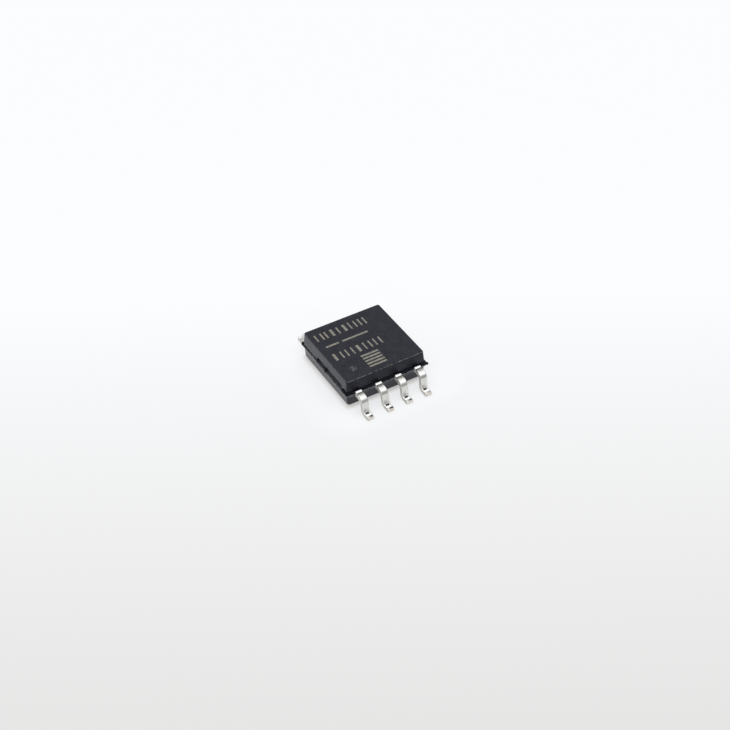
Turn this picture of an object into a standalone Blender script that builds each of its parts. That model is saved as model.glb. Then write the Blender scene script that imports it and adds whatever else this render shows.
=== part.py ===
"""An eight-lead small-outline memory chip, modelled as it is built.

A stamped metal frame carries a silicon die. Gold wires join the die to the lead fingers, and an
epoxy body is moulded round all of it before the leads are trimmed and bent into gull wings.

The origin is the centre of the seating plane. +X runs along the lead rows, +Y across them and
+Z up. All sizes are in metres. Pin one is at the corner towards -X and -Y.
"""

from math import atan2, cos, hypot, pi, radians, sin, tan

import bmesh
import bpy
from mathutils import Vector

# The lead frame sheet and its rows of leads
LEADS_PER_ROW = 4
LEAD_PITCH = 0.00127
LEAD_WIDTH = 0.00043
FRAME_THICKNESS = 0.00022
FRAME_TOP = 0.00107  # height of the frame's upper face, where the two mould halves part
EDGE_ROUND = 0.00002

# The gull-wing bend of each lead, its radii taken at the middle of the sheet
SHOULDER_FLAT = 0.00037
SHOULDER_RADIUS = 0.00035
RISER_ANGLE = radians(79)
HEEL_RADIUS = 0.00024
FOOT_FLAT = 0.00037
FOOT_WIDTH = 0.00040
BEND_STEPS = 9

# The stubs that are left on a lead's sides where the dam bar between the leads was cut away
DAM_STUB = 0.00004
DAM_START = 0.00004
DAM_LENGTH = 0.00012
DAM_CORNER = 0.00001

# The lead fingers inside the body
FINGER_GAP = 0.00030
FINGER_PITCH = 0.00098
FINGER_WIDTH = 0.00056
FINGER_LENGTH = 0.00042
FINGER_TAPER = 0.00022

# The die paddle and the tie bars that hold it in the frame
PADDLE_LENGTH = 0.00340
PADDLE_WIDTH = 0.00250
PADDLE_DOWNSET = 0.00015
TIE_WIDTH = 0.00030
TIE_FLAT = 0.00010
TIE_SLOPE = 0.00025

# The die and the film that glues it to the paddle
ATTACH_THICKNESS = 0.000025
ATTACH_FILLET = 0.00006
DIE_LENGTH = 0.00220
DIE_WIDTH = 0.00176
DIE_THICKNESS = 0.00028
DIE_STEP = 0.00001

# The bond wires: a ball on the die, a loop, and a flat stitch on the finger
PAD_PITCH = 0.00045
PAD_INSET = 0.00012
WIRE_RADIUS = 0.000015
BALL_RADIUS = 0.000038
BALL_HEIGHT = 0.000018
LOOP_HEIGHT = 0.00017
STITCH_LENGTH = 0.00007
STITCH_HALF_WIDTH = 0.00003
STITCH_HALF_HEIGHT = 0.000006
STITCH_INSET = 0.00020
WIRE_SIDES = 8
LOOP_STEPS = 12

# The moulded body: upper and lower halves, and the rim of resin left at the parting line
STANDOFF = 0.00015
UPPER_HEIGHT = 0.00076
UPPER_LENGTH = 0.00507
UPPER_WIDTH = 0.00508
UPPER_DRAFT = radians(4.6)
LOWER_LENGTH = 0.00502
LOWER_WIDTH = 0.00508
LOWER_DRAFT = radians(3.0)
RIM_SIDE = 0.00009
RIM_ROW = 0.000105
RIM_FACE = 0.00015
RIM_UNDERCUT = 0.00018
CORNER_RADIUS = 0.00008
RIM_CORNER_RADIUS = 0.00005
BODY_EDGE = 0.00003
CORNER_STEPS = 4
EDGE_STEPS = 3

# Marks that the mould and the trimming leave in the body
DIMPLE_RADIUS = 0.00030
DIMPLE_DEPTH = 0.00005
DIMPLE_FROM_END = 0.00088
DIMPLE_FROM_ROW = 0.00083
EJECTOR_RADIUS = 0.00060
EJECTOR_DEPTH = 0.00003
GATE_START = 0.00019
GATE_LENGTH = 0.00080
GATE_DEPTH = 0.00017
GATE_HEIGHT = 0.00020

# The play between one piece and the next, far finer than the sheet is thick
FIT = 0.000005
CUTTER_LIFT = 0.00010
ROUND_STEPS = 32
CREASE = radians(31)  # edges that turn by more than this are sharp ones
WIRE_CREASE = radians(60)

frame_middle = FRAME_TOP - FRAME_THICKNESS / 2
body_top = FRAME_TOP + UPPER_HEIGHT
rim_half_x = UPPER_LENGTH / 2 + RIM_SIDE
rim_half_y = UPPER_WIDTH / 2 + RIM_ROW
undercut_z = FRAME_TOP - RIM_FACE - RIM_UNDERCUT
paddle_bottom = FRAME_TOP - PADDLE_DOWNSET - FRAME_THICKNESS
attach_bottom = FRAME_TOP - PADDLE_DOWNSET + FIT
die_bottom = attach_bottom + ATTACH_THICKNESS + FIT
die_top = die_bottom + DIE_THICKNESS
wire_base = die_top + FIT
finger_tip = PADDLE_WIDTH / 2 + FINGER_GAP


def clear_scene():
    """Remove whatever the scene holds at the start."""
    for thing in list(bpy.data.objects):
        bpy.data.objects.remove(thing, do_unlink=True)


def make_material(name, color, roughness, metallic):
    """A Principled material for one kind of surface."""
    material = bpy.data.materials.new(name)
    material.use_nodes = True
    shader = material.node_tree.nodes["Principled BSDF"]
    shader.inputs["Base Color"].default_value = (*color, 1.0)
    shader.inputs["Roughness"].default_value = roughness
    shader.inputs["Metallic"].default_value = metallic
    return material


def mesh_from(work, name, crease=CREASE):
    """Turn a bmesh into a mesh whose faces look outwards and whose curves are smooth."""
    bmesh.ops.recalc_face_normals(work, faces=work.faces)
    mesh = bpy.data.meshes.new(name)
    work.to_mesh(mesh)
    work.free()
    mesh.shade_smooth()
    mesh.set_sharp_from_angle(angle=crease)
    return mesh


def loft(name, rings, crease=CREASE):
    """Skin a row of rings that have the same number of points, with a flat cap at each end."""
    work = bmesh.new()
    loops = [[work.verts.new(point) for point in ring] for ring in rings]
    for near, far in zip(loops, loops[1:]):
        for here, _ in enumerate(near):
            after = (here + 1) % len(near)
            work.faces.new((near[here], near[after], far[after], far[here]))
    work.faces.new(list(reversed(loops[0])))
    work.faces.new(loops[-1])
    return mesh_from(work, name, crease)


def rectangle(half_x, half_y, z):
    """The four corners of a level rectangle."""
    return [Vector((x * half_x, y * half_y, z)) for x, y in ((-1, -1), (1, -1), (1, 1), (-1, 1))]


def rounded_rectangle(half_x, half_y, radius, z):
    """A level rectangle with a quarter circle at each corner."""
    ring = []
    for quarter, (x, y) in enumerate(((1, 1), (-1, 1), (-1, -1), (1, -1))):
        centre = Vector((x * (half_x - radius), y * (half_y - radius), z))
        for step in range(CORNER_STEPS + 1):
            angle = (quarter + step / CORNER_STEPS) * pi / 2
            ring.append(centre + radius * Vector((cos(angle), sin(angle), 0)))
    return ring


def circle(radius, z):
    """A level circle about the Z axis."""
    angles = [2 * pi * step / ROUND_STEPS for step in range(ROUND_STEPS)]
    return [Vector((radius * cos(angle), radius * sin(angle), z)) for angle in angles]


def strip_section(half_width, half_thickness, edge):
    """The section of a stamped strip: a flat rectangle with its four edges taken off."""
    w, t = half_width, half_thickness
    return (
        (-w + edge, -t), (w - edge, -t), (w, -t + edge), (w, t - edge),
        (w - edge, t), (-w + edge, t), (-w, t - edge), (-w, -t + edge),
    )


def lead_stations(side_shift, grow):
    """Where the strip goes: distance out, height, downward tilt, half width, shift and inset.

    The finger starts beside the paddle, narrows to the lead, leaves the body level, bends down
    over the shoulder, and bends out again at the heel into the foot, whose sole is at zero.
    """
    full = FINGER_WIDTH / 2
    lead = LEAD_WIDTH / 2
    foot = FOOT_WIDTH / 2
    level = frame_middle
    finger_end = finger_tip + FINGER_LENGTH
    bend_start = rim_half_y + SHOULDER_FLAT
    stations = [
        (finger_tip - grow, level, 0, full, side_shift, EDGE_ROUND),
        (finger_tip + EDGE_ROUND - grow, level, 0, full, side_shift, 0),
        (finger_end, level, 0, full, side_shift, 0),
        (finger_end + FINGER_TAPER, level, 0, lead, 0, 0),
    ]
    dam_start = rim_half_y + DAM_START
    dam_end = dam_start + DAM_LENGTH
    for out, half_width in (
        (dam_start - DAM_CORNER, lead),
        (dam_start, lead + DAM_STUB),
        (dam_end, lead + DAM_STUB),
        (dam_end + DAM_CORNER, lead),
    ):
        stations.append((out, level, 0, half_width, 0, 0))
    for step in range(BEND_STEPS + 1):
        tilt = RISER_ANGLE * step / BEND_STEPS
        out = bend_start + SHOULDER_RADIUS * sin(tilt)
        height = level - SHOULDER_RADIUS * (1 - cos(tilt))
        stations.append((out, height, tilt, lead, 0, 0))
    fall = level - FRAME_THICKNESS / 2
    bends_fall = (SHOULDER_RADIUS + HEEL_RADIUS) * (1 - cos(RISER_ANGLE))
    riser = (fall - bends_fall) / sin(RISER_ANGLE)
    heel_start = out + riser * cos(RISER_ANGLE)
    for step in range(BEND_STEPS + 1):
        tilt = RISER_ANGLE * (1 - step / BEND_STEPS)
        out = heel_start + HEEL_RADIUS * (sin(RISER_ANGLE) - sin(tilt))
        height = FRAME_THICKNESS / 2 + HEEL_RADIUS * (1 - cos(tilt))
        half_width = lead + (foot - lead) * step / BEND_STEPS
        stations.append((out, height, tilt, half_width, 0, 0))
    tip = out + FOOT_FLAT
    stations.append((tip - EDGE_ROUND + grow, height, 0, foot, 0, 0))
    stations.append((tip + grow, height, 0, foot, 0, EDGE_ROUND))
    return stations


def lead_mesh(name, side_shift, grow=0.0):
    """One lead in its own frame, its foot towards -Y, made larger all round by grow."""
    rings = []
    for out, height, tilt, half_width, shift, inset in lead_stations(side_shift, grow):
        section = strip_section(
            half_width - inset + grow, FRAME_THICKNESS / 2 - inset + grow, EDGE_ROUND
        )
        rings.append(
            [
                Vector((shift + a, -(out + b * sin(tilt)), height + b * cos(tilt)))
                for a, b in section
            ]
        )
    return loft(name, rings)


def paddle_mesh(name, grow=0.0):
    """The paddle with a tie bar to each end of the body, stepped down from the frame's level."""
    half_length = PADDLE_LENGTH / 2 + grow
    half_width = PADDLE_WIDTH / 2 + grow
    half_tie = TIE_WIDTH / 2 + grow
    low = paddle_bottom - grow
    high = low + PADDLE_DOWNSET
    bar = (
        (half_length + TIE_FLAT, low),
        (half_length + TIE_FLAT + TIE_SLOPE, high),
        (rim_half_x + grow, high),
    )
    work = bmesh.new()
    corners = {}
    for end in (-1, 1):
        for side in (-1, 1):
            corners[end, side] = work.verts.new((end * half_length, side * half_width, low))
    roots = {}
    for end in (-1, 1):
        root = [work.verts.new((end * half_length, side * half_tie, low)) for side in (-1, 1)]
        roots[end] = root
        last = root
        for out, height in bar:
            following = [work.verts.new((end * out, side * half_tie, height)) for side in (-1, 1)]
            work.faces.new((last[0], following[0], following[1], last[1]))
            last = following
    work.faces.new(
        (
            corners[-1, -1], corners[1, -1], *roots[1], corners[1, 1],
            corners[-1, 1], *reversed(roots[-1]),
        )
    )
    raised = bmesh.ops.extrude_face_region(work, geom=list(work.faces))["geom"]
    points = [item for item in raised if isinstance(item, bmesh.types.BMVert)]
    bmesh.ops.translate(work, verts=points, vec=(0, 0, FRAME_THICKNESS + 2 * grow))
    return mesh_from(work, name)


def attach_mesh(name, grow=0.0):
    """The cured glue film, which spreads into a small fillet at its foot."""
    half_x = DIE_LENGTH / 2 + grow
    half_y = DIE_WIDTH / 2 + grow
    spread = ATTACH_FILLET
    middle = attach_bottom + ATTACH_THICKNESS / 2
    return loft(
        name,
        [
            rectangle(half_x + spread, half_y + spread, attach_bottom - grow),
            rectangle(half_x + spread, half_y + spread, middle + grow),
            rectangle(half_x, half_y, attach_bottom + ATTACH_THICKNESS + grow),
        ],
    )


def die_mesh(name, grow=0.0):
    """The sawn die, with the shallow step that the first saw cut leaves round its top."""
    half_x = DIE_LENGTH / 2 + grow
    half_y = DIE_WIDTH / 2 + grow
    shelf = die_top - 2 * DIE_STEP + grow
    return loft(
        name,
        [
            rectangle(half_x, half_y, die_bottom - grow),
            rectangle(half_x, half_y, shelf),
            rectangle(half_x - DIE_STEP, half_y - DIE_STEP, shelf),
            rectangle(half_x - DIE_STEP, half_y - DIE_STEP, die_top + grow),
        ],
    )


def bezier(points, share):
    """A point on the cubic curve through four control points, and the way it runs there."""
    a, b, c, d = points
    rest = 1 - share
    here = rest**3 * a + 3 * rest**2 * share * b + 3 * rest * share**2 * c + share**3 * d
    way = rest**2 * (b - a) + 2 * rest * share * (c - b) + share**2 * (d - c)
    return here, way.normalized()


def wire_mesh(name, run, grow=0.0):
    """One bond wire in its own frame: its ball at the origin, its stitch a run away along +X."""
    landing = FRAME_TOP - die_top
    neck = Vector((0, 0, BALL_HEIGHT + grow))
    crown = Vector((0, 0, BALL_HEIGHT + 1.8 * LOOP_HEIGHT))
    touch = Vector((run - STITCH_LENGTH, 0, landing + WIRE_RADIUS))
    control = (neck, crown, Vector((0.45 * run, 0, 1.3 * LOOP_HEIGHT)), touch)
    up = Vector((0, 0, 1))
    forward = Vector((1, 0, 0))
    stations = [
        (-grow * up, up, 0.8 * BALL_RADIUS, 0.8 * BALL_RADIUS),
        (0.35 * BALL_HEIGHT * up, up, BALL_RADIUS, BALL_RADIUS),
        ((0.8 * BALL_HEIGHT + grow) * up, up, 0.8 * BALL_RADIUS, 0.8 * BALL_RADIUS),
    ]
    for step in range(LOOP_STEPS + 1):
        here, way = bezier(control, step / LOOP_STEPS)
        stations.append((here, way, WIRE_RADIUS, WIRE_RADIUS))
    end = Vector((run + grow, 0, landing + STITCH_HALF_HEIGHT))
    stations.append((end, forward, STITCH_HALF_WIDTH, STITCH_HALF_HEIGHT))
    rings = []
    for here, way, across, thick in stations:
        side = Vector((0, 1, 0))
        normal = way.cross(side)
        ring = []
        for corner in range(WIRE_SIDES):
            angle = 2 * pi * corner / WIRE_SIDES
            ring.append(
                here + (across + grow) * cos(angle) * side + (thick + grow) * sin(angle) * normal
            )
        rings.append(ring)
    return loft(name, rings, WIRE_CREASE)


def edge_levels(half_x, half_y, z, toward):
    """The rounded edge of a level face: toward is 1 for the top face and -1 for the bottom."""
    levels = []
    for step in range(EDGE_STEPS + 1):
        angle = step / EDGE_STEPS * pi / 2
        inset = BODY_EDGE * (1 - cos(angle))
        height = z - toward * BODY_EDGE * (1 - sin(angle))
        levels.append((half_x - inset, half_y - inset, CORNER_RADIUS - inset, height))
    return levels[::toward]


def body_levels():
    """The outline of the body at each height, from its underside to its top."""
    upper_x, upper_y = UPPER_LENGTH / 2, UPPER_WIDTH / 2
    lower_x, lower_y = LOWER_LENGTH / 2, LOWER_WIDTH / 2
    top_taper = UPPER_HEIGHT * tan(UPPER_DRAFT)
    bottom_taper = (undercut_z - STANDOFF) * tan(LOWER_DRAFT)
    return [
        *edge_levels(lower_x - bottom_taper, lower_y - bottom_taper, STANDOFF, -1),
        (lower_x, lower_y, CORNER_RADIUS, undercut_z),
        (rim_half_x, rim_half_y, RIM_CORNER_RADIUS, undercut_z + RIM_UNDERCUT),
        (rim_half_x, rim_half_y, RIM_CORNER_RADIUS, FRAME_TOP),
        (upper_x, upper_y, CORNER_RADIUS, FRAME_TOP),
        *edge_levels(upper_x - top_taper, upper_y - top_taper, body_top, 1),
    ]


def dimple_mesh(name):
    """What the pin-one dimple takes out: a shallow bowl."""
    rings = []
    for share in (0.25, 0.5, 0.75, 1.0):
        rings.append(circle(share * DIMPLE_RADIUS, DIMPLE_DEPTH * (share**2 - 1)))
    rings.append(circle(DIMPLE_RADIUS, CUTTER_LIFT))
    return loft(name, rings)


def ejector_mesh(name):
    """What the ejector pin takes out of the underside: a flat disc with a drafted wall."""
    wide = EJECTOR_RADIUS + EJECTOR_DEPTH
    rings = [circle(wide, -CUTTER_LIFT), circle(wide, 0), circle(EJECTOR_RADIUS, EJECTOR_DEPTH)]
    return loft(name, rings)


def gate_mesh(name):
    """The bite in the rim where the mould's gate was broken off, beside the tie bar."""
    outer = rim_half_x + CUTTER_LIFT
    inner = rim_half_x - GATE_DEPTH
    top = FRAME_TOP + BODY_EDGE
    low = FRAME_TOP - GATE_HEIGHT
    start, end = GATE_START, GATE_START + GATE_LENGTH
    slant = GATE_LENGTH / 6
    rings = []
    for x in (-outer, -inner):
        rings.append(
            [
                Vector((x, start, low)),
                Vector((x, end - slant, low)),
                Vector((x, end, top)),
                Vector((x, start, top)),
            ]
        )
    return loft(name, rings)


def add_object(name, mesh, material, parent, location=(0, 0, 0), turn=0.0):
    """Put a mesh in the scene under the chip's empty."""
    thing = bpy.data.objects.new(name, mesh)
    mesh.materials.append(material)
    thing.location = location
    thing.rotation_euler = (0, 0, turn)
    thing.parent = parent
    bpy.context.scene.collection.objects.link(thing)
    return thing


def add_cutter(name, mesh, collection, location=(0, 0, 0), turn=0.0):
    """Put a mesh among the shapes that the body is hollowed by."""
    thing = bpy.data.objects.new(name, mesh)
    thing.location = location
    thing.rotation_euler = (0, 0, turn)
    thing.hide_render = True
    thing.display_type = "WIRE"
    collection.objects.link(thing)


def pin_places():
    """Each pin's number, column from the middle, and row: pins run anticlockwise from above."""
    half = (LEADS_PER_ROW - 1) / 2
    for step in range(LEADS_PER_ROW):
        yield step + 1, step - half, -1
    for step in range(LEADS_PER_ROW):
        yield LEADS_PER_ROW + step + 1, half - step, 1


def build_leads(parent, cutters, material):
    """One formed lead for each pin, and its hollow in the body."""
    for pin, column, row in pin_places():
        place = (column * LEAD_PITCH, 0, 0)
        turn = 0 if row < 0 else pi
        shift = -row * column * (FINGER_PITCH - LEAD_PITCH)
        mesh = lead_mesh(f"lead_{pin}", shift)
        add_object(f"lead_{pin}", mesh, material, parent, place, turn)
        add_cutter(f"lead_hollow_{pin}", lead_mesh(f"lead_hollow_{pin}", shift, FIT), cutters, place, turn)


def build_wires(parent, cutters, material):
    """One gold wire for each pin, from its pad on the die to its finger, and its hollow."""
    for pin, column, row in pin_places():
        pad_x = column * PAD_PITCH
        pad_y = row * (DIE_WIDTH / 2 - PAD_INSET)
        stitch_x = column * FINGER_PITCH
        stitch_y = row * (finger_tip + STITCH_INSET)
        run = hypot(stitch_x - pad_x, stitch_y - pad_y)
        turn = atan2(stitch_y - pad_y, stitch_x - pad_x)
        place = (pad_x, pad_y, wire_base)
        mesh = wire_mesh(f"bond_wire_{pin}", run)
        add_object(f"bond_wire_{pin}", mesh, material, parent, place, turn)
        add_cutter(f"wire_hollow_{pin}", wire_mesh(f"wire_hollow_{pin}", run, FIT), cutters, place, turn)


def build_die_stack(parent, cutters, copper, glue, silicon):
    """The paddle, the glue film and the die, one on another, and their hollows."""
    for name, shape, material in (
        ("die_paddle", paddle_mesh, copper),
        ("die_attach", attach_mesh, glue),
        ("memory_die", die_mesh, silicon),
    ):
        add_object(name, shape(name), material, parent)
        add_cutter(f"{name}_hollow", shape(f"{name}_hollow", FIT), cutters)


def build_body(parent, cutters, material):
    """The moulding, hollowed by every piece that it holds and by its own mould marks."""
    rings = [rounded_rectangle(*level) for level in body_levels()]
    body = add_object("mold_body", loft("mold_body", rings), material, parent)
    dimple_x = -UPPER_LENGTH / 2 + UPPER_HEIGHT * tan(UPPER_DRAFT) + DIMPLE_FROM_END
    dimple_y = -UPPER_WIDTH / 2 + UPPER_HEIGHT * tan(UPPER_DRAFT) + DIMPLE_FROM_ROW
    add_cutter("pin_one_dimple", dimple_mesh("pin_one_dimple"), cutters, (dimple_x, dimple_y, body_top))
    add_cutter("ejector_mark", ejector_mesh("ejector_mark"), cutters, (0, 0, STANDOFF))
    add_cutter("gate_break", gate_mesh("gate_break"), cutters)
    hollow = body.modifiers.new("hollow", "BOOLEAN")
    hollow.operation = "DIFFERENCE"
    hollow.solver = "EXACT"
    hollow.operand_type = "COLLECTION"
    hollow.collection = cutters


def main():
    clear_scene()
    chip = bpy.data.objects.new("memory_chip", None)
    bpy.context.scene.collection.objects.link(chip)
    cutters = bpy.data.collections.new("cutters")
    bpy.context.scene.collection.children.link(cutters)
    epoxy = make_material("epoxy_compound", (0.030, 0.030, 0.034), 0.55, 0.0)
    tin = make_material("tin_plate", (0.80, 0.79, 0.77), 0.22, 1.0)
    copper = make_material("frame_copper", (0.78, 0.46, 0.31), 0.35, 1.0)
    glue = make_material("attach_glue", (0.55, 0.55, 0.52), 0.50, 0.0)
    silicon = make_material("silicon", (0.20, 0.22, 0.28), 0.18, 0.6)
    gold = make_material("gold", (0.95, 0.72, 0.30), 0.22, 1.0)
    build_leads(chip, cutters, tin)
    build_wires(chip, cutters, gold)
    build_die_stack(chip, cutters, copper, glue, silicon)
    build_body(chip, cutters, epoxy)


main()
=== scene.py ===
from collections import namedtuple
from math import ceil, cos, pi, radians, sin, tan

import bmesh
import bpy
from mathutils import Matrix, Vector, noise


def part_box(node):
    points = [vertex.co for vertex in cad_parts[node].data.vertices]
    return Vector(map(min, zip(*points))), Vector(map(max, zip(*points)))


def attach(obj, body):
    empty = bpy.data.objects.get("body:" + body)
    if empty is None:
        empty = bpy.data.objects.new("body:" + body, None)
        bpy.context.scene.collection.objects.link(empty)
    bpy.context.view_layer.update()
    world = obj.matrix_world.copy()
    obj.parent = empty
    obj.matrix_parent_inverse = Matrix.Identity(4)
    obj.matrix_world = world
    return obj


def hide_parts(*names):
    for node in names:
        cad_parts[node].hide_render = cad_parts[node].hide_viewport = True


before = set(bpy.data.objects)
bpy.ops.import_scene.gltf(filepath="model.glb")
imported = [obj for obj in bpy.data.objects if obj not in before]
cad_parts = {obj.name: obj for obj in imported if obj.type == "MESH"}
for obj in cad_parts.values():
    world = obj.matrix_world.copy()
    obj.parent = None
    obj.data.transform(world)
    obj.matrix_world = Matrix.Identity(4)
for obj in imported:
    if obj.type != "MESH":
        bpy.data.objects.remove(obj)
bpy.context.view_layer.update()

# Lengths below are in millimetres, in the frame of the CAD model
MM = 0.001

# The photograph's camera, fitted to the chip's edges: its direction, roll and lens
CAMERA_AZIMUTH = radians(-29.36)
CAMERA_ELEVATION = radians(41.56)
CAMERA_ROLL = radians(-1.53)
CAMERA_DISTANCE = 80.15
CAMERA_ASIDE = 0.063
CAMERA_RAISED = 0.041
CAMERA_AIM = Vector((0, 0, 0.05))
CAMERA_REACH = (1, 10000)
FOCAL_PIXELS = 1400
IMAGE_PIXELS = 730
SENSOR_WIDTH = 36

# The moulded body, from the frame's box and the widths and drafts of its parts
LEDGE_SIDE = 0.09
LEDGE_ROW = 0.105
LOWER_INSET_SIDE = 0.115
LOWER_INSET_ROW = 0.105
UPPER_DRAFT = radians(4.6)
LOWER_DRAFT = radians(3.0)
RIM_FACE = 0.15
UNDERCUT = 0.18
CORNER_RADIUS = 0.12
LOWER_CORNER_RADIUS = 0.16
RIM_CORNER_RADIUS = 0.07
BODY_EDGE = 0.03
LEDGE_OVER_LEAD = 0.004
CORNER_STEPS = 6
SIDE_STEPS = 96
EDGE_STEPS = 5
LOWER_WALL_STEPS = 3
UPPER_WALL_STEPS = 4
SMOOTH_ANGLE = radians(31)

# The levels of the rim and of what lies beside it, as shares of each one's height or depth
UNDERCUT_LEVELS = ((0.12, "lip"), (0.5, "undercut"), (0.93, "undercut"))
RIM_LEVELS = ((0.08, "burr"), (0.28, "rim"), (0.9, "rim"))
LEDGE_LEVELS = (0.12, 0.5, 0.9)
NOTCH_LEVELS = (0.1, 0.5, 1.0)
NOTCH_HEIGHT = 0.15
NOTCH_GAP = 0.03

# Marks of the mould: the pin-one dimple, which is frosted and painted with a glint in its middle,
# and the ejector disc
DIMPLE_PLACE = (-1.594, -1.649)
DIMPLE_RADIUS = 0.30
DIMPLE_DEPTH = 0.022
DIMPLE_RINGS = (0.93, 0.8, 0.6, 0.4, 0.2)
GLINT_AND_FROST_SHARE = 0.7
EJECTOR_RADIUS = 0.60
EJECTOR_DEPTH = 0.03
CIRCLE_STEPS = 64

# The rim's damage on the -X end: the gate's bite, the long break and the trimmed rest
GATE_SPAN = (0.06, 0.86)
GATE_BLUR = 0.10
GATE_DEPTH = 0.20
BREAK_SPAN = (-1.95, -0.16)
BREAK_BLUR = 0.16
BREAK_DEPTH = 0.18
BROKEN_OFF = 0.3
TRIM_END = 0.1
TRIM_BLUR = 0.2
TRIM_DEPTH = 0.06
TRIM_DROP = 0.05

# How much lower the ledge lies at both ends, and the ear of flash at the corner beside pin four
END_DROP = 0.05
EAR = 0.09

# Unevenness of the moulding's edges: its size, how many lumps it has in a millimetre, its seed
RAGGED = 0.011
LEDGE_RISE = 0.004
UNEVEN = {
    "gate": (0.02, 6, 10),
    "break": (0.05, 3, 7),
    "break_depth": (0.02, 5, 3),
    "rim": (RAGGED, 7, 1),
    "chip": (RAGGED, 19, 2),
    "burr": (0.016, 9, 4),
    "ledge": (LEDGE_RISE, 8, 6),
    "notch": (0.03, 4, 9),
    "lip_height": (0.018, 8, 5),
    "lip": (0.012, 12, 8),
}

# How worn the edges are and how much highlight is painted on them, along the near row and
# elsewhere, and which way those sides face
EDGE_WEAR_AND_HIGHLIGHT = (1.0, 0.35)
BURR_WEAR_AND_HIGHLIGHT = (1.0, 0.12)
LIP_WEAR_AND_HIGHLIGHT = 0.1
NEAR_FACING = -0.5
END_FACING = -0.9
ROW_MARGIN = 0.02

# The leads: the sheet, its bends and its stamped section
ROW_PINS = 4
LEAD_PITCH = 1.27
LEAD_WIDTH = 0.43
SHEET = 0.22
SHOULDER_FLAT = 0.30
SHOULDER_LENGTH = 0.526
SHOULDER_EASE = 1.6
RISER_ANGLE = radians(79)
HEEL_RADIUS = 0.24
FOOT_WIDTH = 0.40
TOE_TAPER = (0.012, 0.008)
BEND_STEPS = 18
DAM_STUB = 0.02
DAM_START = 0.075
DAM_LENGTH = 0.07
DAM_CORNER = 0.01
FINGER_PITCH = 0.98
FINGER_WIDTH = 0.56
FINGER_LENGTH = 0.42
FINGER_TAPER = 0.22
UPPER_ROUND = 0.045
LOWER_ROUND = 0.015
ROUND_STEPS = 4
TOP_STEPS = 8

# The relief that the forming tool left: a raised flat at the root, a shallow arch after it, a
# creased heel that is a little thinner, and a swell and a hollow in the foot past the heel
FLAG_START = 0.06
FLAG_END = 0.175
FLAG_STEP = 0.01
FLAG_WIDTH = 0.38
FLAG_RISE = 0.088
FLAG_ROUND = 0.006
ARCH_START = 0.042
ARCH_RISE = 0.058
ARCH_STEPS = 6
HEEL_THIN = 0.025
# CREASE_TILT, CREASE_SPAN, CREASE_BLUR and CREASE_HEIGHT bound the dark line painted in the heel's
# crease as its shade
CREASE_TILT = radians(38)
CREASE_RUN = 0.045
CREASE_SPAN = (-0.6, 0.6)
CREASE_BLUR = 0.3
CREASE_HEIGHT = 0.3
FOOT_RELIEF = ((0.08, 0.018), (0.17, -0.018), (0.20, -0.0153))

# Where dark is painted on the tin as the body's shade and dark reflection, how far up the riser it
# is matt, and how far each foot leans
PAINTED_SHADE_BEND = 0.6
PAINTED_SHADE_END = radians(30)
PAINTED_SHADE_SPAN = (-0.8, 0.8)
PAINTED_SHADE_BLUR = 0.4
PAINTED_SHADE_SHARE = 0.85
PAINTED_SHADE_DULL = 0.38
MATT_SHARE = 0.55
SIDE_FACING = 0.9
FOOT_LEAN = {2: 0.026, 3: -0.03, 4: -0.07}

# A lead's finishes after the plain tin, by their place in its list of materials
MATT_TIN, CUT_TIN, SIDE_TIN = 1, 2, 3

# Where finishes change: towards the body's lower half, which is painted paler as the light it
# reflects, at the tie bars' cut ends, up the leads' sheared sides, which are painted paler high up
# and darker low down as light and shade, and at the edges of the die's blocks of cells and the
# streets between them
LOWER_PAINTED_LIGHT = (0.04, -0.10)
TIE_END = (0.35, 0.25)
SIDE_PAINTED_LIGHT = (0.60, 0.95)
CELL_BLOCK = (0.275, 0.22)
CELL_STREET = (0.010, 0.016)

# Plain laser marks on the top: bars of uneven width, with the scallops of the laser's spot
MARK_HEIGHT = 0.58
MARK_RISE = 0.0015
SPOT_PITCH = 0.06
SPOT_SWELL = 0.008
SPOT_STEPS = 4
BAR_ROWS = ((1.64, -2.16, 1.26), (-0.31, -2.05, 1.15))
THIN_BAR = 0.085
WIDE_BAR = 0.15
WIDE_ABOVE = 0.55
BAR_GAP = (0.17, 0.14)
BAR_SEED, GAP_SEED = 0, 5
DASH_ROW = (0.70, ((-2.00, -1.20), (-0.95, 0.70)))
DASH_HEIGHT = 0.12
HATCH_PLACE = (-0.18, -1.49)
HATCH_SIDE = 1.10
HATCH_BARS = 5

# The sky over the table: how bright it is at each sine of elevation, and its faint cool tint
SKY = ((0.0, 0.42), (0.42, 0.42), (0.60, 0.62), (0.78, 1.45), (1.0, 1.85))
SKY_PEAK = 1.85
SKY_TINT = (0.97, 0.985, 1.0)

# The table: its own colour, its glow painted brighter far from the camera and dimmer near it,
# its shadow under the chip, a painted pale ring of light round that, and where it dims into the
# room
TABLE_HALF = 5000
TABLE_COLOR = (0.865, 0.905, 0.945)
TABLE_FAR = (1.0, 0.99, 0.98)
TABLE_NEAR = (0.665, 0.615, 0.57)
TABLE_TURN = (-6, 32)
TABLE_GLOW = 0.64
SHADOW_INSET = 0.1
SHADOW_REACH = (-0.04, 0.20)
SHADOW_TINT = (0.88, 0.82, 0.77)
SHADOW_GLOW = 0.34
PAINTED_HALO_REACH = (0.3, 2.6)
FAR_REACH = (110, 500)

body_low, body_high = (Vector(corner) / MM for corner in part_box("mold_body"))
lead_low, lead_high = (Vector(corner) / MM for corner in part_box("lead_1"))
rim_x, rim_y, body_top = body_high
standoff = body_low.z
parting = lead_high.z
undercut_z = parting - RIM_FACE - UNDERCUT
ledge_top = parting + LEDGE_OVER_LEAD


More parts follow.
